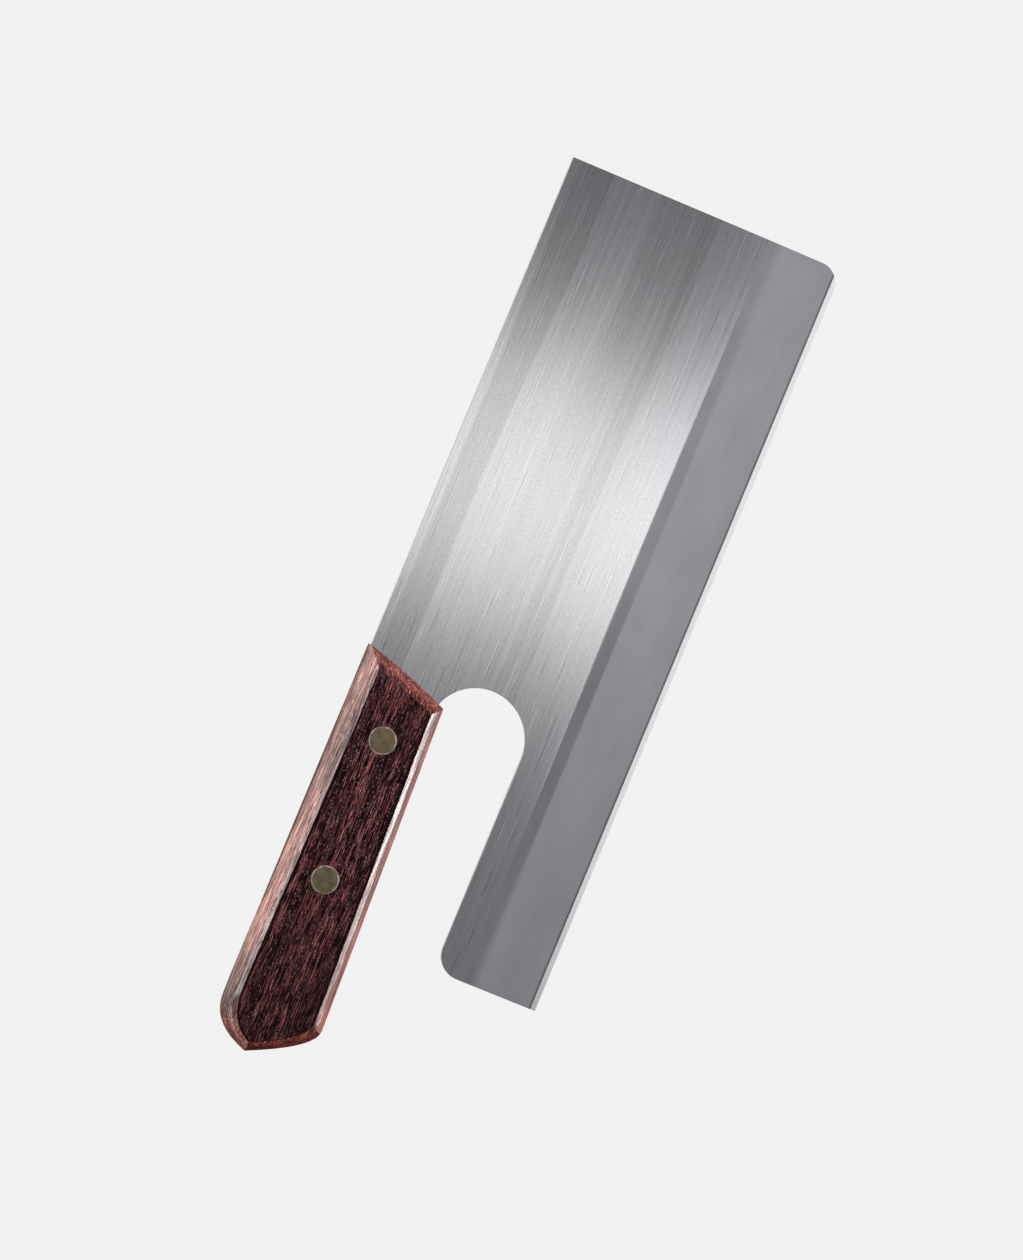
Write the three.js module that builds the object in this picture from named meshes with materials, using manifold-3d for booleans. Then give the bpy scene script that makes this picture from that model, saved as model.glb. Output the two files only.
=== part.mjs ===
// Soba knife: a broad square-ended blade whose heel runs back under the handle, leaving a finger gap
// between them, with two wooden scales held on the tang by a pair of two-piece brass rivets.
// Millimetres. The knife lies on its left side: +X towards the front end, +Y towards the spine, +Z up
// through the ground right face. The origin is the bottom centre of the whole knife.
// Drawing distances are taken back from the front end and down from the spine.

import * as THREE from 'three';
import { mergeVertices } from 'three/addons/utils/BufferGeometryUtils.js';
import Module from 'manifold-3d';

// Blade plate
const edgeLength = 240;
const bladeHeight = 88.3;
const bladeThickness = 2.5;
const tipRadius = 6.5;
const heelRadius = 7.5;

// Ground faces on the right side of the blade
const bevelWidth = 24.1;
const edgeBevelWidth = 1.6;
const edgeBevelThickness = 0.5;
const edgeThickness = 0.1;

// Heel, finger gap and tang
const heelLength = 83.7;
const gapUpperRadius = 14.5;
const gapLowerRadius = 15.5;
const tangWidth = 24.85;
const tangTail = 17.5;
const tangTailRadius = 4;
const tangClearance = 0.3;

// Handle, at its widest outline
const handleSetback = 1;
const handleLength = 126.1;
const handleThickness = 20;
const handleProud = 0.55;
const tangCover = 2.05;
const bellyFlare = 4.2;
const frontSlant = THREE.MathUtils.degToRad(19.1);
const frontBulge = 0.6;
const buttApexDrop = 11.3;
const buttCurveLength = 13.3;
const buttUpperSlant = THREE.MathUtils.degToRad(19);
const buttLowerSlant = THREE.MathUtils.degToRad(23.3);
const buttCornerLength = 5.6;

// Bevels from the widest outline in to the flat outer face of a scale, with a softer shoulder on the way
const sideWallHeight = 6;
const spineBevelFront = 4.55;
const spineBevelRear = 3.1;
const bellyBevel = 3.9;
const frontBevelSpine = 4.65;
const frontBevelBelly = 4;
const buttBevel = 2.9;
const faceApexRise = 1.5;
const shoulderDrop = 0.6;
const shoulderShare = 0.6;

// Rivets
const frontRivetInset = 24.9;
const rivetSpacing = 44.7;
const rivetDrop = 13.1;
const rivetHeadDiameter = 8.8;
const rivetHeadThickness = 2.2;
const socketDiameter = 6;
const socketCap = 1;
const postDiameter = 4;
const rivetClearance = 0.3;
const rivetEndGap = 0.5;

// Fineness of the round forms, how far a cutting shape reaches past what it cuts, and how close two
// points are when they count as one
const arcSteps = 28;
const frontSteps = 6;
const buttSteps = 9;
const roundSteps = 40;
const cutMargin = 5;
const weldDistance = 1e-4;

const gapFront = edgeLength - heelLength;
const handleFront = gapFront + handleSetback;
const handleEnd = handleFront + handleLength;
const bellyFront = tangWidth + tangCover;
const bellyRear = bellyFront + bellyFlare;
const faceHeight = handleThickness / 2;
const plateHalf = bladeThickness / 2;
const headSeat = faceHeight - rivetHeadThickness;
const frontRivetBack = handleFront + frontRivetInset;
const rearRivetBack = frontRivetBack + rivetSpacing;
const tangEnd = rearRivetBack + tangTail;

const steel = { color: 0xb3b3b8, roughness: 0.34, metalness: 1 };
const rosewood = { color: 0x4a2a29, roughness: 0.5, metalness: 0 };
const brass = { color: 0x8f8457, roughness: 0.38, metalness: 1 };

const wasm = await Module();
wasm.setup();

function at(back, down) {
  return new THREE.Vector2(-back, -down);
}

function mix(first, last, share) {
  return first + (last - first) * share;
}

// Points of a round corner about a centre, from one heading to another in degrees.
function arc(back, down, radius, from, to) {
  const start = THREE.MathUtils.degToRad(from);
  const end = THREE.MathUtils.degToRad(to);
  const curve = new THREE.EllipseCurve(-back, -down, radius, radius, start, end, to < from);
  return curve.getPoints(arcSteps);
}

// A closed solid that can be joined and cut, from any closed geometry.
function solidOf(geometry) {
  const bare = geometry.clone();
  bare.deleteAttribute('normal');
  bare.deleteAttribute('uv');
  const merged = mergeVertices(bare, weldDistance);
  return new wasm.Manifold(new wasm.Mesh({
    numProp: 3,
    vertProperties: new Float32Array(merged.attributes.position.array),
    triVerts: new Uint32Array(merged.index.array),
  }));
}

function geometryOf(solid) {
  const { vertProperties, triVerts } = solid.getMesh();
  const geometry = new THREE.BufferGeometry();
  geometry.setAttribute('position', new THREE.BufferAttribute(new Float32Array(vertProperties), 3));
  geometry.setIndex(new THREE.BufferAttribute(new Uint32Array(triVerts), 1));
  geometry.computeVertexNormals();
  return geometry;
}

function enclosedVolume(points, triangles) {
  const normal = new THREE.Vector3();
  return triangles.reduce((sum, [a, b, c]) => (
    sum + normal.crossVectors(points[b], points[c]).dot(points[a]) / 6
  ), 0);
}

// Skin over a row of closed loops with equal counts of points, with a flat cap at each end.
// flatten gives a point's place in the plane of the caps.
function loft(loops, flatten) {
  const count = loops[0].length;
  const points = loops.flat();
  const triangles = [];
  for (let ring = 0; ring + 1 < loops.length; ring += 1) {
    for (let step = 0; step < count; step += 1) {
      const here = ring * count + step;
      const next = ring * count + (step + 1) % count;
      triangles.push([here, next, next + count], [here, next + count, here + count]);
    }
  }
  const contour = loops[0].map(flatten);
  const sense = Math.sign(THREE.ShapeUtils.area(contour));
  const lastRing = (loops.length - 1) * count;
  for (const ear of THREE.ShapeUtils.triangulateShape(contour, [])) {
    const turn = Math.sign(THREE.ShapeUtils.area(ear.map((corner) => contour[corner])));
    const cap = turn === sense ? ear : [...ear].reverse();
    triangles.push([...cap].reverse(), cap.map((corner) => corner + lastRing));
  }
  if (enclosedVolume(points, triangles) < 0) {
    triangles.forEach((triangle) => triangle.reverse());
  }
  const geometry = new THREE.BufferGeometry().setFromPoints(points);
  geometry.setIndex(triangles.flat());
  return geometry;
}

function meshOf(name, geometry, finish) {
  const mesh = new THREE.Mesh(geometry, new THREE.MeshStandardMaterial(finish));
  mesh.name = name;
  return mesh;
}

// Outline of the blade and its tang in one plate. A clearance widens the tang for the pocket that holds
// it, and a spine rise opens that pocket through the spine side of the handle.
function plateOutline(clearance, spineRise) {
  const noseDown = tangWidth + gapUpperRadius;
  const heelTop = noseDown + gapLowerRadius;
  const tailRadius = tangTailRadius + clearance;
  const tail = tangEnd - tangTailRadius;
  return [
    at(0, -spineRise),
    at(tangEnd + clearance, -spineRise),
    ...arc(tail, tangWidth - tangTailRadius, tailRadius, 180, 270),
    ...arc(gapFront + gapUpperRadius, noseDown, gapUpperRadius - clearance, 90, 0),
    ...arc(gapFront + gapLowerRadius, noseDown, gapLowerRadius - clearance, 0, -90).slice(1),
    ...arc(edgeLength - heelRadius, heelTop + heelRadius, heelRadius, 90, 180),
    at(edgeLength, bladeHeight),
    ...arc(tipRadius, bladeHeight - tipRadius, tipRadius, -90, 0),
  ];
}

function plate(outline, holes = []) {
  const shape = new THREE.Shape(outline);
  shape.holes = holes.map((points) => new THREE.Path(points));
  const geometry = new THREE.ExtrudeGeometry(shape, { depth: bladeThickness, bevelEnabled: false });
  return geometry.translate(0, 0, -plateHalf);
}

// What grinding takes off the right face: the main bevel along the whole edge, and the narrow sharpened
// bevel below it.
function groundAway() {
  const backPlane = -plateHalf;
  const section = (back) => [
    [bladeHeight - bevelWidth, plateHalf],
    [bladeHeight - edgeBevelWidth, backPlane + edgeBevelThickness],
    [bladeHeight, backPlane + edgeThickness],
    [bladeHeight + cutMargin, backPlane + edgeThickness],
    [bladeHeight + cutMargin, plateHalf + cutMargin],
    [bladeHeight - bevelWidth, plateHalf + cutMargin],
  ].map(([down, height]) => new THREE.Vector3(-back, -down, height));
  const ends = [-cutMargin, edgeLength + cutMargin];
  return loft(ends.map(section), (point) => new THREE.Vector2(point.y, point.z));
}

function blade() {
  const holeRadius = socketDiameter / 2 + rivetClearance;
  const holes = [frontRivetBack, rearRivetBack].map((back) => (
    new THREE.EllipseCurve(-back, -rivetDrop, holeRadius, holeRadius).getPoints(roundSteps).slice(1)
  ));
  const solid = solidOf(plate(plateOutline(0, 0), holes)).subtract(solidOf(groundAway()));
  return meshOf('blade', geometryOf(solid), steel);
}

// Outline of the handle with each side drawn in by a share of its bevel.
function handleOutline(share) {
  const along = (back) => (back - handleFront) / handleLength;
  const spineAt = (back) => mix(spineBevelFront, spineBevelRear, along(back)) * share - handleProud;
  const bellyAt = (back) => mix(bellyFront, bellyRear, along(back)) - bellyBevel * share;
  const frontAt = (down) => {
    const across = down / bellyFront;
    const bulge = 4 * frontBulge * across * (1 - across);
    const bevel = mix(frontBevelSpine, frontBevelBelly, across) * share / Math.cos(frontSlant);
    return handleFront + down * Math.tan(frontSlant) + bevel - bulge;
  };
  const endAt = (down) => {
    const bevel = buttBevel * share / Math.cos(buttLowerSlant);
    return handleEnd - (down - buttApexDrop) * Math.tan(buttLowerSlant) - bevel;
  };

  const apexDown = buttApexDrop - faceApexRise * share;
  const apexBack = endAt(apexDown);
  const apex = at(apexBack, apexDown);
  const curveStart = handleEnd - buttCurveLength - buttBevel * share;
  const curveLead = apexBack - (apexDown - spineAt(apexBack)) * Math.tan(buttUpperSlant);
  const upperButt = new THREE.QuadraticBezierCurve(
    at(curveStart, spineAt(curveStart)),
    at(curveLead, spineAt(curveLead)),
    apex,
  );
  const cornerBack = endAt(bellyAt(apexBack));
  const cornerEnd = cornerBack - buttCornerLength;
  const lowerButt = new THREE.QuadraticBezierCurve(
    apex,
    at(cornerBack, bellyAt(cornerBack)),
    at(cornerEnd, bellyAt(cornerEnd)),
  );
  const spineDown = spineAt(handleFront);
  const bellyDown = bellyAt(frontAt(bellyFront));
  const front = [];
  for (let step = 0; step <= frontSteps; step += 1) {
    const down = mix(bellyDown, spineDown, step / frontSteps);
    front.push(at(frontAt(down), down));
  }
  return [
    ...upperButt.getPoints(buttSteps),
    ...lowerButt.getPoints(buttSteps).slice(1),
    ...front,
  ];
}

// Round hole along Z about a rivet's axis.
function bore(back, radius, low, high) {
  const geometry = new THREE.CylinderGeometry(radius, radius, high - low, roundSteps);
  return geometry.rotateX(Math.PI / 2).translate(-back, -rivetDrop, (low + high) / 2);
}

// One scale: side is 1 for the right and -1 for the left. It meets the other scale on the middle plane,
// and is rebated over the tang.
function scale(name, side) {
  const level = (height, share) => (
    handleOutline(share).map((point) => new THREE.Vector3(point.x, point.y, side * height))
  );
  const block = loft([
    level(0, 0),
    level(sideWallHeight / 2, 0),
    level(faceHeight - shoulderDrop, shoulderShare),
    level(faceHeight, 1),
  ], (point) => new THREE.Vector2(point.x, point.y));
  const pocket = plate(plateOutline(tangClearance, handleProud + cutMargin));
  let solid = solidOf(block).subtract(solidOf(pocket));
  for (const back of [frontRivetBack, rearRivetBack]) {
    const ends = [side * headSeat, side * (faceHeight + cutMargin)].sort((a, b) => a - b);
    const headHole = bore(back, rivetHeadDiameter / 2 + rivetClearance, ...ends);
    const shankHole = bore(back, socketDiameter / 2 + rivetClearance, -faceHeight, faceHeight);
    solid = solid.subtract(solidOf(headHole)).subtract(solidOf(shankHole));
  }
  return meshOf(name, geometryOf(solid), rosewood);
}

// Solid of revolution about a rivet's axis, from a profile of radius and height.
function turned(name, back, profile) {
  const points = profile.map(([radius, height]) => new THREE.Vector2(radius, height));
  const geometry = new THREE.LatheGeometry(points, roundSteps).rotateX(Math.PI / 2);
  const mesh = meshOf(name, geometry, brass);
  mesh.position.set(-back, -rivetDrop, 0);
  return mesh;
}

// A rivet: the socket's head seats in the right scale and its hollow shank crosses the tang; the post's
// head seats in the left scale and its shank is pressed up inside the socket.
function rivet(place, back) {
  const headRadius = rivetHeadDiameter / 2;
  const socketRadius = socketDiameter / 2;
  const postRadius = postDiameter / 2;
  const boreRadius = postRadius + rivetClearance;
  const boreEnd = headSeat - socketCap;
  const socket = turned(`${place}_rivet_socket`, back, [
    [0, boreEnd],
    [boreRadius, boreEnd],
    [boreRadius, rivetEndGap - headSeat],
    [socketRadius, rivetEndGap - headSeat],
    [socketRadius, headSeat],
    [headRadius, headSeat],
    [headRadius, faceHeight],
    [0, faceHeight],
  ]);
  const post = turned(`${place}_rivet_post`, back, [
    [0, -faceHeight],
    [headRadius, -faceHeight],
    [headRadius, -headSeat],
    [postRadius, -headSeat],
    [postRadius, boreEnd - rivetEndGap],
    [0, boreEnd - rivetEndGap],
  ]);
  return [socket, post];
}

const knife = new THREE.Group();
knife.add(blade());
knife.add(scale('right_scale', 1));
knife.add(scale('left_scale', -1));
knife.add(...rivet('front', frontRivetBack));
knife.add(...rivet('rear', rearRivetBack));
knife.position.set(handleEnd / 2, (bladeHeight - handleProud) / 2, faceHeight);

export default knife;
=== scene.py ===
import math

import bmesh
import bpy
from mathutils import Matrix, Vector


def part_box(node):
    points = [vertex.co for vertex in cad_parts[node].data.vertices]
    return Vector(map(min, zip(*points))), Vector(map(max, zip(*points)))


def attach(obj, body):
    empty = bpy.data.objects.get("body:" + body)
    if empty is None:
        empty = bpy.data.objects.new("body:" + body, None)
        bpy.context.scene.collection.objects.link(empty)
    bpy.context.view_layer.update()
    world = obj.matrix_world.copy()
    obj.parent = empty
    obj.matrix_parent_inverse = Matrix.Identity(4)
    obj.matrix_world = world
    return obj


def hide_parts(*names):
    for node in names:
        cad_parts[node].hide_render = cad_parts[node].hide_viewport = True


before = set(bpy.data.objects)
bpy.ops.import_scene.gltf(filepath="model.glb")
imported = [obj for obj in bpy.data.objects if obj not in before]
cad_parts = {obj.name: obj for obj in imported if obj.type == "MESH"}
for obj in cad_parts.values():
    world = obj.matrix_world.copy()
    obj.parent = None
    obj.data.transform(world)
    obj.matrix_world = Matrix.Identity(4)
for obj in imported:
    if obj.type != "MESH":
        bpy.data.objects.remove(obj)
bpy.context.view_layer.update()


# Blade: one plate of steel with the broad blade, the heel strip and the tang cut out together. It is
# brushed along its length, ground to a bevel on the right face only, and sharpened along a narrow edge.

# Sizes are in millimetres, apart from snap, the distance in metres within which two points are one.
MM = 0.001
snap = 1e-6
cut_margin = 2
round_steps = 64
corner_steps = 24
square_angle = 40

blade_length = 240
blade_height = 88.3
blade_thickness = 2.5
blade_half = blade_thickness / 2
tip_radius = 6.5
heel_length = 83.7
heel_radius = 7.5
gap_front = blade_length - heel_length
gap_upper_radius = 14.5
gap_lower_radius = 15.5
tang_width = 24.85
heel_top = tang_width + gap_upper_radius + gap_lower_radius

handle_setback = 1
handle_front = gap_front + handle_setback
front_rivet_back = handle_front + 24.9
rear_rivet_back = front_rivet_back + 44.7
rivet_backs = (front_rivet_back, rear_rivet_back)
rivet_down = 13.1
shank_radius = 3
tang_end = rear_rivet_back + 17.5
tang_corner_radius = 4

bevel_width = 24.1
edge_width = 1.6
edge_top_thickness = 0.5
edge_thickness = 0.1
grind_top = blade_height - bevel_width
grind_depth = blade_thickness - edge_top_thickness
edge_line = blade_height - edge_width
edge_depth = edge_top_thickness - edge_thickness
blade_edge_softness = 0.12

front_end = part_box("blade")[1].x
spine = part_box("blade")[1].y
middle = (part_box("blade")[0].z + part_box("blade")[1].z) / 2


def at(back, down, height=0.0):
    """A point so many millimetres back from the front end, down from the spine and up from mid-thickness."""
    return Vector((front_end - back * MM, spine - down * MM, middle + height * MM))


def pick(kind, test):
    """Select in edit mode the vertices, edges or faces that pass a test, and say how many."""
    bpy.ops.mesh.select_mode(type=kind)
    bpy.ops.mesh.select_all(action="DESELECT")
    mesh = bmesh.from_edit_mesh(bpy.context.object.data)
    items = {"VERT": mesh.verts, "EDGE": mesh.edges, "FACE": mesh.faces}[kind]
    found = [item for item in items if test(item)]
    for item in found:
        item.select_set(True)
    bmesh.update_edit_mesh(bpy.context.object.data)
    return len(found)


def cut_all(point, normal, away=False):
    """Cut the whole mesh along a plane; away takes off the side that the normal points to."""
    bpy.ops.mesh.select_mode(type="FACE")
    bpy.ops.mesh.select_all(action="SELECT")
    bpy.ops.mesh.bisect(
        plane_co=point, plane_no=normal, use_fill=away, clear_outer=away, threshold=0.1 * snap
    )


def near(corner):
    """A test for the vertices that lie on a corner."""
    return lambda vertex: (vertex.co - corner).length < snap


def ground_off(down):
    """How much the grinding takes off the right face at a distance down from the spine."""
    if down <= edge_line:
        return grind_depth * (down - grind_top) / (edge_line - grind_top)
    return grind_depth + edge_depth * (down - edge_line) / (blade_height - edge_line)


def in_finger_gap(face):
    """The part of the sheet to cut away below the tang: the finger gap, and all that is behind the heel."""
    place = face.calc_center_median()
    behind_gap = place.x < at(gap_front, 0).x
    behind_heel = place.x < at(blade_length, 0).x
    below_tang = place.y < at(0, tang_width).y
    above_heel = place.y > at(0, heel_top).y
    return behind_gap and below_tang and (above_heel or behind_heel)


bpy.ops.object.select_all(action="DESELECT")
bpy.ops.mesh.primitive_plane_add(size=1, location=at(tang_end / 2, blade_height / 2, blade_half))
blade = bpy.context.object
blade.name = "steel_blade"
blade.scale = (tang_end * MM, blade_height * MM, 1)
bpy.ops.object.transform_apply(location=True, rotation=True, scale=True)

bpy.ops.object.mode_set(mode="EDIT")
cut_all(at(gap_front, 0), (1, 0, 0))
cut_all(at(blade_length, 0), (1, 0, 0))
cut_all(at(0, tang_width), (0, 1, 0))
cut_all(at(0, heel_top), (0, 1, 0))
pick("FACE", in_finger_gap)
bpy.ops.mesh.delete(type="FACE")
bpy.ops.mesh.select_all(action="SELECT")
bpy.ops.mesh.dissolve_limited(angle_limit=0.01)
for back, down, radius in (
    (tang_end, tang_width, tang_corner_radius),
    (gap_front, tang_width, gap_upper_radius),
    (gap_front, heel_top, gap_lower_radius),
    (blade_length, heel_top, heel_radius),
    (0, blade_height, tip_radius),
):
    pick("VERT", near(at(back, down, blade_half)))
    bpy.ops.mesh.bevel(offset=radius * MM, segments=corner_steps, affect="VERTICES", clamp_overlap=False)
bpy.ops.mesh.select_all(action="SELECT")
bpy.ops.mesh.remove_doubles(threshold=snap)

cut_all(at(0, grind_top), (0, 1, 0))
cut_all(at(0, edge_line), (0, 1, 0))

bpy.ops.mesh.select_all(action="SELECT")
bpy.ops.mesh.extrude_region_move(TRANSFORM_OT_translate={"value": (0, 0, -blade_thickness * MM)})
bpy.ops.mesh.select_all(action="SELECT")
bpy.ops.mesh.normals_make_consistent(inside=False)
ground_points = [
    vertex.co.copy()
    for vertex in bmesh.from_edit_mesh(blade.data).verts
    if vertex.co.z > middle and vertex.co.y < at(0, grind_top).y - snap
]
for point in ground_points:
    pick("VERT", near(point))
    bpy.ops.transform.translate(value=(0, 0, -ground_off((spine - point.y) / MM) * MM))
bpy.ops.object.mode_set(mode="OBJECT")


def use(piece):
    """Make a piece the only one selected, and the active one."""
    bpy.ops.object.select_all(action="DESELECT")
    piece.select_set(True)
    bpy.context.view_layer.objects.active = piece


def cut_out(piece, cutter):
    """Take the shape of a cutter out of a piece, and throw the cutter away."""
    use(piece)
    hollow = piece.modifiers.new("hollow", "BOOLEAN")
    hollow.object = cutter
    hollow.solver = "EXACT"
    bpy.ops.object.modifier_apply(modifier=hollow.name)
    bpy.data.objects.remove(cutter)


def peg(back, down, radius, low, high):
    """A round peg through the thickness of the knife, to bore a hole with."""
    bpy.ops.object.select_all(action="DESELECT")
    bpy.ops.mesh.primitive_cylinder_add(
        vertices=round_steps,
        radius=radius * MM,
        depth=(high - low) * MM,
        location=at(back, down, (low + high) / 2),
    )
    bpy.ops.object.transform_apply(location=True, rotation=True, scale=True)
    return bpy.context.object


def steepness(edge):
    """The angle in degrees by which the surface turns over an edge."""
    return math.degrees(edge.calc_face_angle(0.0))


def soften(piece, offset, segments, test):
    """Round over the edges of a piece that pass a test."""
    use(piece)
    bpy.ops.object.mode_set(mode="EDIT")
    pick("EDGE", test)
    bpy.ops.mesh.bevel(offset=offset * MM, segments=segments, affect="EDGES", clamp_overlap=True)
    bpy.ops.object.mode_set(mode="OBJECT")


def settle_shading(piece, angle):
    """Smooth shading up to an angle, with the broad faces kept flat."""
    use(piece)
    bpy.ops.object.shade_smooth_by_angle(angle=math.radians(angle), keep_sharp_edges=True)
    flatness = piece.modifiers.new("flatness", "WEIGHTED_NORMAL")
    flatness.keep_sharp = True
    bpy.ops.object.modifier_apply(modifier=flatness.name)


def plate_rim(edge):
    """The square edges round the plate, apart from the cutting edge."""
    place = (edge.verts[0].co + edge.verts[1].co) / 2
    return steepness(edge) > square_angle and place.y > at(0, edge_line).y


def grind_crease(edge):
    """The lines where the flat meets the ground bevel and the bevel meets the sharpened edge."""
    lowest = min(vertex.co.y for vertex in edge.verts)
    return 1 < steepness(edge) < square_angle and lowest < at(0, grind_top).y + snap


use(blade)
bpy.ops.object.duplicate()
rebate_cutter = bpy.context.object
rebate_cutter.name = "rebate_cutter"
for back in rivet_backs:
    cut_out(blade, peg(back, rivet_down, shank_radius, -blade_half - cut_margin, blade_half + cut_margin))
soften(blade, blade_edge_softness, 2, plate_rim)
bpy.ops.object.mode_set(mode="EDIT")
pick("EDGE", grind_crease)
bpy.ops.mesh.mark_sharp()
bpy.ops.object.mode_set(mode="OBJECT")
settle_shading(blade, 30)


class Wire:
    """A shader output: sums on it add Math nodes, and node() adds any other node to its tree."""

    def __init__(self, socket):
        self.socket = socket

    def node(self, kind, settings=None, inputs=None, output=0):
        tree = self.socket.id_data
        made = tree.nodes.new("ShaderNode" + kind)
        for name, value in (settings or {}).items():
            if name == "stops":
                for place, colour in value[1:-1]:
                    made.color_ramp.elements.new(place)
                for element, (place, colour) in zip(made.color_ramp.elements, value):
                    element.position = place
                    element.color = (*colour, 1)
            else:
                setattr(made, name, value)
        for name, value in (inputs or {}).items():
            if isinstance(value, Wire):
                tree.links.new(value.socket, made.inputs[name])
            else:
                made.inputs[name].default_value = value
        return Wire(made.outputs[output]) if made.outputs else None

    def sum(self, operation, first, second):
        return self.node("Math", {"operation": operation}, {0: first, 1: second})

    def __add__(self, other):
        return self.sum("ADD", self, other)

    def __sub__(self, other):
        return self.sum("SUBTRACT", self, other)

    def __rsub__(self, other):
        return self.sum("SUBTRACT", other, self)

    def __mul__(self, other):
        return self.sum("MULTIPLY", self, other)

    __radd__ = __add__
    __rmul__ = __mul__

    def rise(self, low, high):
        """0 below low, 1 above high, and a soft step between."""
        return self.node(
            "MapRange",
            {"interpolation_type": "SMOOTHSTEP"},
            {"Value": self, "From Min": low, "From Max": high},
        )

    def blend(self, first, second):
        """Two colours, mixed with this as the share of the second."""
        return self.node("Mix", {"data_type": "RGBA"}, {0: self, 6: first, 7: second}, 2)

    def times(self, colour):
        """This, multiplied as a colour by another colour or value."""
        settings = {"data_type": "RGBA", "blend_type": "MULTIPLY"}
        return self.node("Mix", settings, {0: 1.0, 6: self, 7: colour}, 2)

    def tinted(self, red, green, blue):
        """A colour of one tint, as bright as this value."""
        return self.times((red, green, blue, 1))


def new_finish(name):
    """An empty material, and the Object coordinates that its pattern starts from."""
    material = bpy.data.materials.new(name)
    material.use_nodes = True
    material.node_tree.nodes.clear()
    return material, Wire(material.node_tree.nodes.new("ShaderNodeTexCoord").outputs["Object"])


def show(place, shader_inputs):
    """End a material in a Principled shader with these inputs."""
    surface = place.node("BsdfPrincipled", {}, shader_inputs)
    place.node("OutputMaterial", {}, {"Surface": surface})


def streaks(place, along, across, detail, start):
    """Noise drawn out along the knife, from the length and width of a streak in millimetres. Detail breaks
    the streaks up, and each pattern has a start of its own so that no two fall together."""
    size = (1 / (along * MM), 1 / (across * MM), 1 / (across * MM))
    drawn = place.node("Mapping", {}, {"Vector": place, "Location": (start, start, start), "Scale": size})
    return place.node("TexNoise", {}, {"Vector": drawn, "Scale": 1.0, "Detail": detail, "Roughness": 0.6})


def down_from_spine(place):
    """How far a place is down from the spine, in millimetres."""
    return (spine - place.node("SeparateXYZ", {}, {"Vector": place}, "Y")) * (1 / MM)


def back_from_front(place):
    """How far a place is back from the blade's front end, in millimetres."""
    return (front_end - place.node("SeparateXYZ", {}, {"Vector": place}, "X")) * (1 / MM)


brushed_flat, place = new_finish("brushed_flat")
down = down_from_spine(place)
back = back_from_front(place)
front_part = 1 - back.rise(10, 110)
stroke = down - 2.5 * front_part + 0.8 * (streaks(place, 90, 12, 1, 1.3) - 0.5)
spine_stroke = down.rise(2.0, 3.4) - stroke.rise(10.9, 11.7)
middle_stroke = stroke.rise(25, 28) - stroke.rise(45.6, 46.6)
lower_stroke = stroke.rise(38.5, 40.5) - stroke.rise(45.6, 46.6)
foot_stroke = stroke.rise(46, 62)
bright_stroke = (stroke.rise(23.7, 24.1) - stroke.rise(24.5, 25.0)) * (1 - back.rise(50, 110))
lines = streaks(place, 500, 1.6, 1, 5.1)
brush = streaks(place, 60, 0.5, 1, 9.7)
mottle = streaks(place, 0.8, 0.5, 1, 4.6)
scuffed = streaks(place, 16, 1.8, 1, 7.7).rise(0.53, 0.63)
nicks = scuffed * (streaks(place, 400, 0.43, 0, 3.8) - 0.5)
# A thin line along the grind line is painted lighter, a painted highlight, and is also made rougher.
crease_highlight_line = down.rise(grind_top - 0.6, grind_top - 0.2) * (1 - front_part) * (1 - back.rise(155, 195))
shade = (
    0.61 + 0.0004 * down - 0.1 * spine_stroke - (0.015 + 0.05 * front_part) * middle_stroke
    - 0.035 * lower_stroke + 0.05 * bright_stroke + (0.02 + 0.05 * front_part) * foot_stroke
    + 0.1 * (lines - 0.5) + 0.13 * (brush - 0.5) + 0.22 * (mottle - 0.5) + 0.52 * nicks + 0.1 * crease_highlight_line
)
show(place, {
    # Low on the flat at the front the colour is tinted bluish: a painted reflection of the sky.
    "Base Color": (front_part * foot_stroke).blend(
        shade.tinted(1.0, 0.995, 1.0), shade.tinted(0.98, 1.0, 1.06)
    ),
    "Metallic": 1.0,
    "Roughness": 0.18 + 0.03 * (brush - 0.5) + 0.05 * nicks + 0.2 * crease_highlight_line,
})

satin_bevel, place = new_finish("satin_bevel")
cloud = streaks(place, 22, 10, 2, 2.2)
fine = streaks(place, 25, 0.4, 2, 7.3)
down = down_from_spine(place)
back = back_from_front(place)
ends = 1 - back.rise(15, 90) + back.rise(180, 235)
below_crease = 1 - down.rise(grind_top + 3.4 - 1.6 * ends, grind_top + 4.2 + 1.2 * ends)
# Just above the sharpened edge a thin dark line is painted: a painted dark reflection of the narrow turn
# there.
dark_edge_reflection = down.rise(edge_line - 0.8, edge_line - 0.4)
# A darker band runs just below the grind line, darkest from the middle towards the heel.
darker_band = (0.13 + 0.11 * back.rise(95, 140) - 0.05 * back.rise(180, 235)) * below_crease
shade = 0.69 + 0.2 * (cloud - 0.5) + 0.06 * (fine - 0.5) - darker_band - 0.36 * dark_edge_reflection
show(place, {
    "Base Color": shade.tinted(1.0, 0.985, 1.01),
    "Metallic": 1.0,
    "Roughness": 0.3 + 0.06 * (fine - 0.5),
})

bright_edge, place = new_finish("bright_edge")
fine = streaks(place, 6, 0.15, 2, 3.3)
shade = 0.85 + 0.1 * (fine - 0.5)
show(place, {
    "Base Color": shade.tinted(1.0, 1.0, 1.0),
    "Metallic": 1.0,
    "Roughness": 0.17 + 0.1 * (fine - 0.5),
})


def paint(piece, finish, test):
    """Give the faces of a piece that pass a test a finish of their own."""
    use(piece)
    piece.data.materials.append(finish)
    piece.active_material_index = len(piece.data.materials) - 1
    bpy.ops.object.mode_set(mode="EDIT")
    if pick("FACE", test):
        bpy.ops.object.material_slot_assign()
    bpy.ops.object.mode_set(mode="OBJECT")


def anywhere(face):
    return True


def on_ground_bevel(face):
    """The broad bevel, which leans a few degrees towards the cutting edge."""
    return face.normal.z > 0.99 and face.normal.y < -0.03


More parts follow.
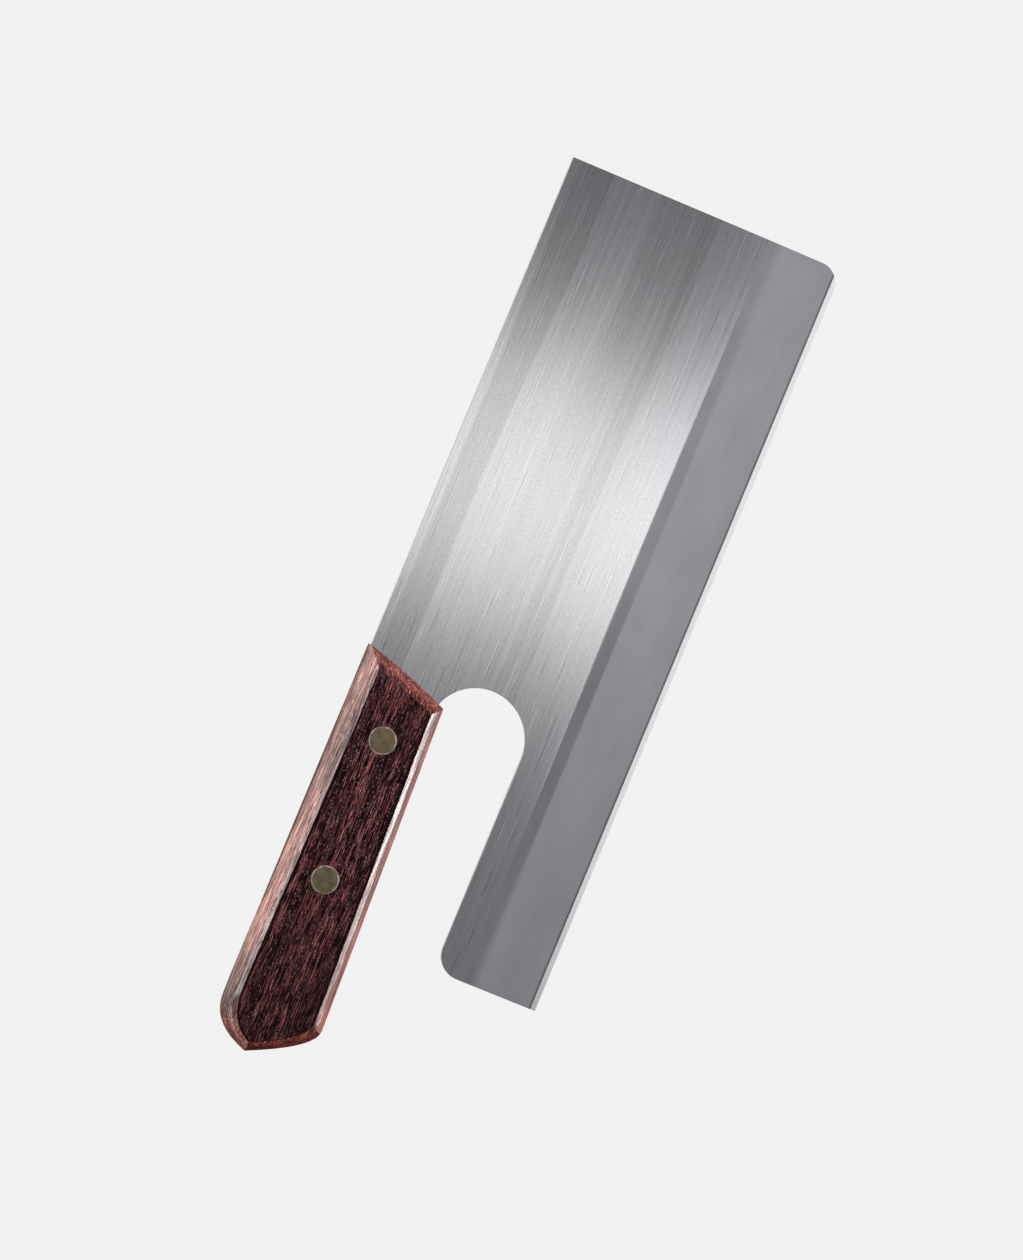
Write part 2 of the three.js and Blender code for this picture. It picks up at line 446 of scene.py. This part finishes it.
def on_sharpened_edge(face):
    """The narrow steeper strip along the cutting edge."""
    below = face.calc_center_median().y < at(0, edge_line).y
    return below and face.normal.z > 0.9 and face.normal.y < -0.2


paint(blade, brushed_flat, anywhere)
paint(blade, satin_bevel, on_ground_bevel)
paint(blade, bright_edge, on_sharpened_edge)
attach(blade, "root")
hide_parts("blade")


# Scales: two slabs of dark reddish open-pored wood, rebated over the tang and meeting on the knife's
# middle. Each is cut to outline and planed to a broad bevel with a softer shoulder, then oiled to a low
# sheen.

handle_length = 126.1
handle_end = handle_front + handle_length
handle_proud = 0.55
belly_front = tang_width + 2.05
belly_rear = belly_front + 4.2
front_slant = math.tan(math.radians(19.1))
front_bulge = 0.6
butt_apex = 11.3
butt_curve = 13.3
butt_upper_slant = math.tan(math.radians(19))
butt_lower_slant = math.tan(math.radians(23.3))
butt_corner = 5.6
spine_bevel = (4.55, 3.1)
belly_bevel = 3.9
front_bevel = (4.65, 4)
butt_bevel = 3.3
butt_round_bevel = 4.6
apex_rise = 0.8
face_height = 10
shoulder_height = face_height - 0.6
shoulder_share = 0.6
wall_top = 3
front_strips = 4
butt_strips = 9
weld_distance = 2e-5

block_back = 220
block_down = 16
block_length = 140
block_width = 44


def mix(first, last, share):
    """The number that lies a share of the way from the first to the last."""
    return first + (last - first) * share


def bowed(start, lead, end, share):
    """A point on a curve that leaves its start towards the lead and reaches its end from there."""
    return tuple(mix(mix(a, b, share), mix(b, c, share), share) for a, b, c in zip(start, lead, end))


def handle_outline(share):
    """The outline of the handle, drawn in on each side by a share of its bevel, as (back, down) points."""

    def along(back):
        return (back - handle_front) / handle_length

    def spine_side(back):
        return mix(*spine_bevel, along(back)) * share - handle_proud

    def belly_side(back):
        return mix(belly_front, belly_rear, along(back)) - belly_bevel * share

    def front_side(down):
        across = down / belly_front
        bevel = mix(*front_bevel, across) * share * math.hypot(1, front_slant)
        return handle_front + down * front_slant + bevel - 4 * front_bulge * across * (1 - across)

    def butt_side(down):
        bevel = butt_bevel * share * math.hypot(1, butt_lower_slant)
        return handle_end - (down - butt_apex) * butt_lower_slant - bevel

    apex_down = butt_apex - apex_rise * share
    apex = (butt_side(apex_down), apex_down)
    start = handle_end - butt_curve - butt_round_bevel * share
    drawn_in = (butt_round_bevel - butt_bevel) * share
    lead = apex[0] - (apex_down - spine_side(apex[0])) * butt_upper_slant - drawn_in
    corner = butt_side(belly_side(apex[0]))
    end = corner - butt_corner
    upper = [
        bowed((start, spine_side(start)), (lead, spine_side(lead)), apex, step / butt_strips)
        for step in range(butt_strips)
    ]
    lower = [
        bowed(apex, (corner, belly_side(corner)), (end, belly_side(end)), step / butt_strips)
        for step in range(butt_strips + 1)
    ]
    belly_corner = belly_side(front_side(belly_front))
    spine_corner = spine_side(handle_front)
    downs = [mix(belly_corner, spine_corner, step / front_strips) for step in range(front_strips + 1)]
    return upper + lower + [(front_side(down), down) for down in downs]


def plane_off(first, second, third):
    """Plane the block down to the face through three points, on the side away from its heart."""
    normal = (second - first).cross(third - first).normalized()
    if normal.dot(at(block_back, rivet_down, wall_top) - first) > 0:
        normal.negate()
    cut_all(first, normal, away=True)


def midway(first, second, height):
    """The middle of the line between two (back, down) points, at a height."""
    return at((first[0] + second[0]) / 2, (first[1] + second[1]) / 2, height)


bpy.ops.object.select_all(action="DESELECT")
bpy.ops.mesh.primitive_cube_add(size=1, location=at(block_back, block_down, face_height / 2))
right_scale = bpy.context.object
right_scale.name = "right_wooden_scale"
right_scale.scale = (block_length * MM, block_width * MM, face_height * MM)
bpy.ops.object.transform_apply(location=True, rotation=True, scale=True)
bpy.ops.object.mode_set(mode="EDIT")
wall, shoulder, face = (handle_outline(share) for share in (0, shoulder_share, 1))
for here in range(len(wall)):
    after = (here + 1) % len(wall)
    plane_off(at(*wall[here]), at(*wall[after]), at(*wall[here], face_height))
    plane_off(
        at(*shoulder[here], shoulder_height),
        at(*shoulder[after], shoulder_height),
        midway(wall[here], wall[after], wall_top),
    )
    plane_off(
        at(*face[here], face_height),
        at(*face[after], face_height),
        midway(shoulder[here], shoulder[after], shoulder_height),
    )
bpy.ops.mesh.select_all(action="SELECT")
bpy.ops.mesh.remove_doubles(threshold=weld_distance)
bpy.ops.mesh.normals_make_consistent(inside=False)
bpy.ops.object.mode_set(mode="OBJECT")


face_softness = 0.15
arris_softness = 0.02
arris_angle = 12
seam_softness = 0.1
seam_zone = 2


def face_edge(edge):
    """The edges of a scale's flat outer face."""
    return min(vertex.co.z for vertex in edge.verts) > at(0, 0, face_height).z - snap


def arris(edge):
    """The edges between a scale's planed faces, but not between the narrow strips that round its ends."""
    lowest = min(vertex.co.z for vertex in edge.verts)
    return steepness(edge) > arris_angle and lowest > at(0, 0, seam_zone).z


def seam(edge):
    """The edges where the two scales meet on the knife's middle."""
    highest = max(vertex.co.z for vertex in edge.verts)
    return steepness(edge) > square_angle and highest < middle + snap


soften(right_scale, face_softness, 3, face_edge)
soften(right_scale, arris_softness, 3, arris)
soften(right_scale, seam_softness, 1, seam)

# The rebate is open along the spine, so its cutter is raised there past the wood.
rebate_lift = 6
head_radius = 4.4
head_seat = face_height - 2.2
use(rebate_cutter)
bpy.ops.object.mode_set(mode="EDIT")
pick("VERT", lambda vertex: vertex.co.y > spine - snap)
bpy.ops.transform.translate(value=(0, rebate_lift * MM, 0))
bpy.ops.object.mode_set(mode="OBJECT")
cut_out(right_scale, rebate_cutter)
for back in rivet_backs:
    cut_out(right_scale, peg(back, rivet_down, shank_radius, -cut_margin, face_height))
    cut_out(right_scale, peg(back, rivet_down, head_radius, head_seat, face_height + cut_margin))

use(right_scale)
bpy.ops.object.duplicate()
left_scale = bpy.context.object
left_scale.name = "left_wooden_scale"
left_scale.scale = (1, 1, -1)
left_scale.location = (0, 0, 2 * middle)
bpy.ops.object.transform_apply(location=True, rotation=True, scale=True)
bpy.ops.object.mode_set(mode="EDIT")
bpy.ops.mesh.select_all(action="SELECT")
bpy.ops.mesh.normals_make_consistent(inside=False)
bpy.ops.object.mode_set(mode="OBJECT")


def oiled_wood(name, tones, fleck_tone, width, contrast, gloss, shine, wear_and_painted_light):
    """The wood with its grain, pores and flecks. Tones go from its dark to its light figure, width is that of
    one fibre in millimetres, and wear_and_painted_light gives how dark and how glossy it is at a place, from
    handling and from painted shade."""
    finish, place = new_finish(name)
    darkening, polish = wear_and_painted_light(place)
    figure = streaks(place, 70, 3, 3, 4.4)
    thread = streaks(place, 45, 1.2 * width, 1, 1.9).rise(0.34, 0.66)
    fibre = streaks(place, 12 * width, width, 1, 8.8).rise(0.4, 0.6)
    pore = streaks(place, 30 * width, width, 0, 2.9).rise(0.5, 0.58)
    fleck = streaks(place, 3 * width, width, 0, 6.7).rise(0.66, 0.74)
    grain = place.node("ValToRGB", {"stops": tuple(zip((0.3, 0.48, 0.6, 0.75), tones))}, {"Fac": figure})
    depth = (1 - contrast + contrast * (0.1 + 1.8 * fibre) * (0.4 + 1.2 * thread)) * (1 - darkening)
    flecked = (0.8 * fleck * (1 - darkening)).blend(grain.times(depth), (*fleck_tone, 1))
    pore_tone = (*(0.15 * part for part in tones[0]), 1)
    relief = place.node("Bump", {}, {"Strength": 0.4, "Distance": 0.2 * MM, "Height": 0.4 * fibre - pore})
    show(place, {
        "Base Color": (contrast * pore).blend(flecked, pore_tone),
        "Roughness": 0.36 + 0.1 * pore + 0.06 * fibre,
        "Specular IOR Level": shine,
        "Coat IOR": 1.9,
        "Coat Weight": gloss * polish * (0.7 + 0.3 * fibre) * (1 - 0.4 * pore) if gloss else 0.0,
        "Coat Roughness": 0.13,
        "Normal": relief,
    })
    return finish


def along_handle(place):
    """How far a place is along the handle, from 0 at its front to 1 at its tip."""
    return (back_from_front(place) - handle_front) * (1 / handle_length)


def past_belly_edge(place):
    """How far a place lies outside the flat face's edge on the belly side, in millimetres."""
    edge = belly_front - belly_bevel + (belly_rear - belly_front) * along_handle(place)
    return down_from_spine(place) - edge


# How fast the flat face's spine edge turns down once it is past the start of the butt's rounding.
butt_turn = 0.0025


def past_spine_edge(place):
    """How far a place lies outside the flat face's edge on the spine side, which turns down at the butt."""
    front, rear = spine_bevel
    into_butt = back_from_front(place) - (handle_end - butt_curve - butt_round_bevel)
    into_butt = into_butt.sum("MAXIMUM", into_butt, 0.0)
    straight = front - handle_proud + (rear - front) * along_handle(place)
    edge = straight + butt_turn * into_butt * into_butt * into_butt
    return edge - down_from_spine(place)


def height_from_middle(place):
    """How far a place is from the knife's middle plane on either side, in millimetres."""
    height = place.node("SeparateXYZ", {}, {"Vector": place}, "Z") - middle
    return height.sum("MAXIMUM", height, -1 * height) * (1 / MM)


def face_wear_and_shade(place):
    """The flat face: thin dark lines painted along its edges as shade, a face that grows darker towards the
    butt, and a redder heart through its middle.
    """
    along = along_handle(place)
    down = down_from_spine(place)
    # Thin dark lines are painted just inside the face's edges as shade.
    belly_edge_shade = past_belly_edge(place).rise(-1.2, -0.4)
    spine_edge_shade = past_spine_edge(place).rise(-1.1, -0.6) * along.rise(0.1, 0.35)
    butt_darkening = along.rise(0.45, 0.95) * (0.42 + 0.25 * past_belly_edge(place).rise(-9, -3))
    heart = (down.rise(16.4, 17.6) - down.rise(19.0, 20.4)) * (1 - along.rise(0.6, 0.8))
    heart = heart * streaks(place, 70, 6, 1, 3.1).rise(0.36, 0.56)
    undarkened = (1 - 0.9 * belly_edge_shade) * (1 - 0.9 * spine_edge_shade) * (1 - butt_darkening)
    return 1 - undarkened * (1 + 0.5 * heart), 1.0


def arris_painted_shade(place):
    """A dark line painted as shade along the eased edge round the flat face, least at the front."""
    return 0.9 * along_handle(place).rise(0.08, 0.3), 1.0


def spine_wear(place):
    """The spine bevel is darker over a stretch behind the front and again before the butt, where only its
    shoulder is still glossy. Short open pores show dark in the polish, and the upright wall was never so
    polished."""
    along = along_handle(place)
    front_stretch = along.rise(0.12, 0.24) - along.rise(0.32, 0.42)
    rear = along.rise(0.65, 0.9)
    tip = along.rise(0.9, 0.96)
    height = height_from_middle(place)
    shoulder = height.rise(5.5, 9.0)
    top = height.rise(9.2, 9.6)
    undarkened = (along.rise(0.3, 0.4) - along.rise(0.6, 0.7)) * (height.rise(4.5, 6.5) - top)
    open_pore = streaks(place, 2.6, 0.38, 0, 5.5).rise(0.65, 0.7) * height.rise(5.0, 8.0) * (1 - tip)
    darkening = (
        0.2 * (1 - along.rise(0.1, 0.45)) + 0.25 * front_stretch + 0.1 * (1 - height.rise(3.6, 5.4)) * (1 - rear)
        - 0.3 * undarkened + 0.12 * top * along.rise(0.3, 0.4) * (1 - rear)
        + rear * (1 - tip) * (0.77 - 0.05 * shoulder) + tip * (0.6 - 0.18 * shoulder)
    )
    dulled = (0.25 * rear + 0.65 * along.rise(0.88, 0.95)) * (1 - shoulder)
    polish = (1 - dulled) * (1 - 0.8 * along.rise(0.93, 0.98)) * (0.35 + 0.65 * height.rise(2.5, 4.5))
    return 1 - (1 - darkening) * (1 - 0.7 * open_pore), polish * (1 - 0.7 * open_pore)


def belly_polish_and_shade(place):
    """Fingers polish the belly bevel most next to the flat face, behind a thin dark line painted on its edge
    as shade.
    """
    along = along_handle(place)
    past = past_belly_edge(place)
    belly_line_shade = 1 - past.rise(0.0, 0.4)
    handled = 1 - past.rise(0.9, 4.2 - 1.6 * along)
    polish = (1 - belly_line_shade) * handled * (1 - 0.7 * along.rise(0.35, 0.95))
    return 0.85 * belly_line_shade + 0.3 * (1 - belly_line_shade) * handled, polish


def end_painted_shade(place):
    """The end grain is painted darker as shade on its shoulder and near the spine at the front, and on its
    outer bevel at the butt, most below its tip."""
    down = down_from_spine(place)
    shoulder = height_from_middle(place).rise(8.7, 9.4)
    butt = along_handle(place).rise(0.4, 0.6)
    near_spine = down.rise(2.0, 3.5) - down.rise(5.5, 8.0)
    near_tip = 1 - down.rise(14, 27)
    front_shade = 0.3 * shoulder + 0.3 * near_spine
    butt_darkening = 0.6 - 0.3 * shoulder + 0.2 * near_tip
    return front_shade * (1 - butt) + butt_darkening * butt, 1.0


face_tones = (
    (0.021, 0.0060, 0.0079), (0.050, 0.0146, 0.0168), (0.097, 0.0300, 0.0305), (0.150, 0.0520, 0.0475),
)
face_fleck = (0.20, 0.14, 0.12)
dark_wood = oiled_wood(
    "dark_wood", face_tones, face_fleck,
    width=0.25, contrast=1.0, gloss=0.0, shine=0.05, wear_and_painted_light=face_wear_and_shade,
)
arris_wood = oiled_wood(
    "arris_wood", face_tones, face_fleck,
    width=0.38, contrast=1.0, gloss=0.0, shine=0.05, wear_and_painted_light=arris_painted_shade,
)
# The bevel woods below share the face's grain, but their tones are several times lighter: painted light,
# standing in for the side lights and sheen that the bevels catch.
side_wood = oiled_wood(
    "side_wood",
    ((0.110, 0.054, 0.046), (0.168, 0.082, 0.070), (0.223, 0.110, 0.092), (0.283, 0.141, 0.117)),
    (0.28, 0.14, 0.11),
    width=0.5, contrast=0.5, gloss=1.0, shine=0.0, wear_and_painted_light=spine_wear,
)
upper_butt_wood = oiled_wood(
    "upper_butt_wood",
    ((0.110, 0.043, 0.035), (0.168, 0.066, 0.053), (0.223, 0.088, 0.070), (0.283, 0.113, 0.088)),
    (0.28, 0.12, 0.09),
    width=0.5, contrast=0.5, gloss=1.0, shine=0.0, wear_and_painted_light=spine_wear,
)
belly_wood = oiled_wood(
    "belly_wood",
    ((0.20, 0.062, 0.053), (0.29, 0.092, 0.078), (0.36, 0.117, 0.099), (0.43, 0.145, 0.124)),
    (0.5, 0.22, 0.18),
    width=0.6, contrast=0.5, gloss=0.42, shine=0.05, wear_and_painted_light=belly_polish_and_shade,
)
end_wood = oiled_wood(
    "end_wood",
    ((0.13, 0.042, 0.037), (0.19, 0.061, 0.054), (0.26, 0.087, 0.075), (0.33, 0.115, 0.099)),
    (0.33, 0.14, 0.11),
    width=0.5, contrast=0.55, gloss=0.0, shine=0.0, wear_and_painted_light=end_painted_shade,
)
butt_wood = oiled_wood(
    "butt_wood",
    ((0.13, 0.033, 0.026), (0.19, 0.048, 0.038), (0.26, 0.068, 0.054), (0.33, 0.09, 0.072)),
    (0.33, 0.12, 0.09),
    width=0.5, contrast=0.5, gloss=0.0, shine=0.0, wear_and_painted_light=end_painted_shade,
)

# How much a face looks outwards, at least, on the flat face and on the eased edge round it.
flat_limit = 0.9995
eased_limit = 0.968


def on_arris(face):
    """The eased edge round a scale's flat face, painted dark as shade."""
    return eased_limit <= abs(face.normal.z) < flat_limit


def on_bevel(face):
    """A scale's shoulder, bevel and upright wall, all the way round."""
    return abs(face.normal.z) < eased_limit


def on_rebate(face):
    """The sawn inside of the rebate, next to the tang."""
    return abs(face.calc_center_median().z - middle) < seam_zone * MM


def on_belly(face):
    """The bevel and shoulder under the fingers."""
    return on_bevel(face) and face.normal.y < -0.3 and abs(face.normal.x) < -0.5 * face.normal.y


def on_end(face):
    """The bevels that cross the grain, at the front and under the butt."""
    sideways = math.hypot(face.normal.x, face.normal.y)
    over_butt = face.normal.x < 0 and face.normal.y > 0
    return on_bevel(face) and abs(face.normal.x) > 0.4 * sideways and not over_butt


def on_upper_butt(face):
    """The rounded bevel from the spine down to the butt's tip."""
    return on_bevel(face) and face.normal.y > 0 and face.normal.x < -0.5 * face.normal.y


def on_lower_butt(face):
    """The bevel from the butt's tip down to the belly."""
    return on_end(face) and face.normal.x < 0


for scale, node in ((right_scale, "right_scale"), (left_scale, "left_scale")):
    settle_shading(scale, 25)
    paint(scale, dark_wood, anywhere)
    paint(scale, arris_wood, on_arris)
    paint(scale, side_wood, lambda face: on_bevel(face) or on_rebate(face))
    paint(scale, upper_butt_wood, on_upper_butt)
    paint(scale, belly_wood, on_belly)
    paint(scale, end_wood, on_end)
    paint(scale, butt_wood, on_lower_butt)
    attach(scale, "root")
    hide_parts(node)


# Rivets: cutler's rivets in two halves of brass, a hollow one from the right and a solid one pressed into it
# from the left. Their heads sit in the scales and are ground flush with the wood.

post_radius = 2.0
bore_radius = 2.3
bore_end = 6.8
socket_end = -7.3
post_end = 6.3
head_middle = (face_height + head_seat) / 2
rim_width = 0.9
rim_softness = 0.3
dish = 0.04


def rivet_head(name, side):
    """A rivet's round head in its seat, ground very slightly hollow, with its rim eased. Its inner end is
    left picked in edit mode, for the shank to be drawn from."""

    def rim(edge):
        outer = (edge.verts[0].co.z - middle) * side > head_middle * MM
        return outer and steepness(edge) > square_angle

    bpy.ops.object.select_all(action="DESELECT")
    bpy.ops.mesh.primitive_cylinder_add(
        vertices=round_steps,
        radius=head_radius * MM,
        depth=(face_height - head_seat) * MM,
        location=at(front_rivet_back, rivet_down, side * head_middle),
    )
    head = bpy.context.object
    head.name = name
    bpy.ops.object.transform_apply(location=True, rotation=True, scale=True)
    bpy.ops.object.mode_set(mode="EDIT")
    pick("FACE", lambda face: face.normal.z * side > 0.9)
    bpy.ops.mesh.inset(thickness=rim_width * MM)
    bpy.ops.transform.translate(value=(0, 0, -side * dish * MM))
    pick("EDGE", rim)
    bpy.ops.mesh.bevel(offset=rim_softness * MM, segments=3, affect="EDGES")
    pick("FACE", lambda face: face.normal.z * side < -0.9)
    return head


def draw_out(radius_from, radius_to, length):
    """Narrow the picked end of a rivet and draw it out along its axis."""
    bpy.ops.mesh.inset(thickness=(radius_from - radius_to) * MM)
    bpy.ops.mesh.extrude_region_move(TRANSFORM_OT_translate={"value": (0, 0, length * MM)})


front_socket = rivet_head("front_brass_socket", 1)
draw_out(head_radius, shank_radius, socket_end - head_seat)
draw_out(shank_radius, bore_radius, bore_end - socket_end)
bpy.ops.object.mode_set(mode="OBJECT")
front_post = rivet_head("front_brass_post", -1)
draw_out(head_radius, post_radius, post_end + head_seat)
bpy.ops.object.mode_set(mode="OBJECT")


def rear_copy(piece, name):
    """The same half of the rear rivet, with its own mesh."""
    use(piece)
    bpy.ops.object.duplicate()
    copy = bpy.context.object
    copy.name = name
    copy.location = ((front_rivet_back - rear_rivet_back) * MM, 0, 0)
    bpy.ops.object.transform_apply(location=True, rotation=True, scale=True)
    return copy


rear_socket = rear_copy(front_socket, "rear_brass_socket")
rear_post = rear_copy(front_post, "rear_brass_post")


def from_rivet(place, back):
    """How far a place is from the axis of a rivet, in millimetres."""
    levelled = place.node("Mapping", {}, {"Vector": place, "Scale": (1, 1, 0)})
    axis = (*at(back, rivet_down).xy, 0)
    return place.node("VectorMath", {"operation": "DISTANCE"}, {0: levelled, 1: axis}, "Value") * (1 / MM)


dull_brass, place = new_finish("dull_brass")
scuff = streaks(place, 5, 0.3, 3, 6.1)
tarnish = place.node("TexNoise", {}, {"Vector": place, "Scale": 400.0, "Detail": 3.0})
stain = place.node("TexNoise", {}, {"Vector": place, "Scale": 900.0, "Detail": 1.0}).rise(0.35, 0.65)
from_front = from_rivet(place, front_rivet_back)
from_rear = from_rivet(place, rear_rivet_back)
from_axis = from_front.sum("MINIMUM", from_front, from_rear)
# A broken ring at each head's edge is painted paler: a painted highlight of the rim catching the light.
rim = from_axis.rise(3.75, 3.95) - from_axis.rise(4.25, 4.4)
rim = rim * streaks(place, 2.5, 2.5, 1, 1.4).rise(0.42, 0.56)
# The rear rivet is painted a little lighter, painted light that makes up for the weaker light on it.
rear_rivet_painted_light = 1 - from_rear.rise(5, 6)
shade = 0.31 + 0.04 * rear_rivet_painted_light + 0.24 * (scuff - 0.5) + 0.4 * (tarnish - 0.5) + 0.9 * rim
stained = stain.blend(shade.tinted(1.0, 0.75, 0.47), shade.tinted(0.98, 0.81, 0.42))
scuffs = place.node("Bump", {}, {"Strength": 0.15, "Distance": 0.1 * MM, "Height": scuff})
show(place, {
    "Base Color": rim.blend(stained, shade.tinted(1.0, 0.88, 0.76)),
    "Metallic": 1.0,
    "Roughness": 0.32 + 0.2 * (tarnish - 0.5),
    "Normal": scuffs,
})

# The eased rims are painted pale: a painted highlight, broken up by noise.
rim_highlight_brass, place = new_finish("rim_highlight_brass")
wear_and_painted_light = place.node("TexNoise", {}, {"Vector": place, "Scale": 500.0, "Detail": 2.0}).rise(0.45, 0.6)
show(place, {
    "Base Color": (0.5 + 0.45 * wear_and_painted_light).tinted(1.0, 0.88, 0.66),
    "Metallic": 1.0,
    "Roughness": 0.45 - 0.1 * wear_and_painted_light,
})


def on_eased_rim(face):
    """The eased rim round a rivet's head, painted paler as a highlight."""
    return 0.1 < abs(face.normal.z) < 0.985


for half, node in (
    (front_socket, "front_rivet_socket"),
    (front_post, "front_rivet_post"),
    (rear_socket, "rear_rivet_socket"),
    (rear_post, "rear_rivet_post"),
):
    settle_shading(half, 30)
    paint(half, dull_brass, anywhere)
    paint(half, rim_highlight_brass, on_eased_rim)
    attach(half, "root")
    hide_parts(node)


# Stage: a plain pale floor that glows evenly by itself, soft lights round the knife, some of them on the
# handle only, and the camera almost straight above its right face, leaning a little to the spine's side.

floor_size = 6
floor_drop = 0.3
floor_glow = 0.882
sky_glow = 0.18
horizon_glow = 0.6
backdrop_glow = 0.888

bpy.ops.object.select_all(action="DESELECT")
bpy.ops.mesh.primitive_plane_add(size=floor_size, location=(0, 0, -floor_drop * MM))
floor = bpy.context.object
floor.name = "floor"
pale_floor, place = new_finish("pale_floor")
show(place, {
    "Base Color": (0.005, 0.005, 0.005, 1),
    "Roughness": 1.0,
    "Specular IOR Level": 0.0,
    "Emission Color": (1, 1, 1, 1),
    "Emission Strength": floor_glow,
})
paint(floor, pale_floor, anywhere)

studio = bpy.data.worlds.new("studio")
studio.use_nodes = True
studio.node_tree.nodes.clear()
bpy.context.scene.world = studio
seen = Wire(studio.node_tree.nodes.new("ShaderNodeLightPath").outputs["Is Camera Ray"])
direction = seen.node("TexCoord", {}, {}, "Generated")
overhead = seen.node("SeparateXYZ", {}, {"Vector": direction}, "Z").rise(0.1, 0.8)
glow = horizon_glow - (horizon_glow - sky_glow) * overhead
sky = seen.node("Background", {}, {"Color": (1, 1, 1.1, 1), "Strength": glow})
backdrop = seen.node("Background", {}, {"Color": (1, 1, 1, 1), "Strength": backdrop_glow})
seen.node("OutputWorld", {}, {"Surface": seen.node("MixShader", {}, {0: seen, 1: sky, 2: backdrop})})

handle_only = bpy.data.collections.new("handle_only")
for scale in (right_scale, left_scale):
    handle_only.objects.link(scale)

# The watts that a square metre of a light's face takes at a glow of 1.
light_watts = 4


def softbox(name, place, aim, width, height, glow, mirrored=True, lit=None):
    """A soft rectangular light; glow is how bright its face is. One that isn't mirrored only fills and shows
    in no polished surface, and one with lit is flagged off everything else."""
    bpy.ops.object.light_add(type="AREA", location=place)
    light = bpy.context.object
    light.name = name
    light.data.shape = "RECTANGLE"
    light.data.size = width
    light.data.size_y = height
    light.data.energy = light_watts * width * height * glow
    light.visible_glossy = mirrored
    light.light_linking.receiver_collection = lit
    light.rotation_euler = (Vector(aim) - Vector(place)).to_track_quat("-Z", "Y").to_euler()


softbox("band_light", (0.0575, -0.09, 0.711), (0.0575, -0.09, 0.011), 0.1, 0.22, 1.13)
softbox("edge_light", (0.13, -0.588, 0.726), (0.03, -0.044, 0.009), 0.54, 0.09, 0.84)
softbox("bevel_light", (0.25, -0.25, 0.72), (0.1, -0.03, 0.009), 0.3, 0.2, 0.14)
softbox("heel_light", (0, -0.25, 0.72), (0, -0.03, 0.009), 0.62, 0.2, 0.085)
softbox("belly_light", (-0.085, -0.671, 0.6), (-0.085, 0.017, 0.02), 0.18, 0.05, 26, lit=handle_only)
softbox("spine_light", (-0.05, 0.8, 0.17), (-0.05, 0, 0.01), 0.8, 0.3, 20, mirrored=False, lit=handle_only)
softbox("shoulder_light", (0.03, 0.42, 0.79), (0.03, 0.04, 0.02), 0.34, 0.25, 0.9, lit=handle_only)
softbox("rear_light", (-0.172, 0.7, 0.79), (-0.12, 0.04, 0.02), 0.11, 0.22, 5.2, lit=handle_only)
softbox("panel_light", (0.1, 0.45, 0.8), (0.02, 0, 0.01), 0.5, 0.3, 0.8)
softbox("front_light", (0.8, 0, 0.2), (0, 0, 0.01), 0.5, 0.3, 15, mirrored=False, lit=handle_only)
softbox("butt_light", (-0.7, -0.3, 0.3), (-0.14, 0.03, 0.01), 0.4, 0.3, 7, mirrored=False, lit=handle_only)

view_lean = math.radians(8)
view_turn = math.radians(22.736)
view_distance = 2.5
view_lens = 239.36
view_centre = Vector((0.0045, 0.0066, 0.01125))
view_back = Vector((0, math.sin(view_lean), math.cos(view_lean)))
view_up = Vector((math.cos(view_turn), math.sin(view_turn), 0))
view_right = view_up.cross(view_back).normalized()
view_up = view_back.cross(view_right)
bpy.ops.object.camera_add(location=view_centre + view_distance * view_back)
camera = bpy.context.object
camera.rotation_euler = Matrix((view_right, view_up, view_back)).transposed().to_euler()
camera.data.lens = view_lens
bpy.context.scene.camera = camera
bpy.context.scene.view_settings.view_transform = "Standard"
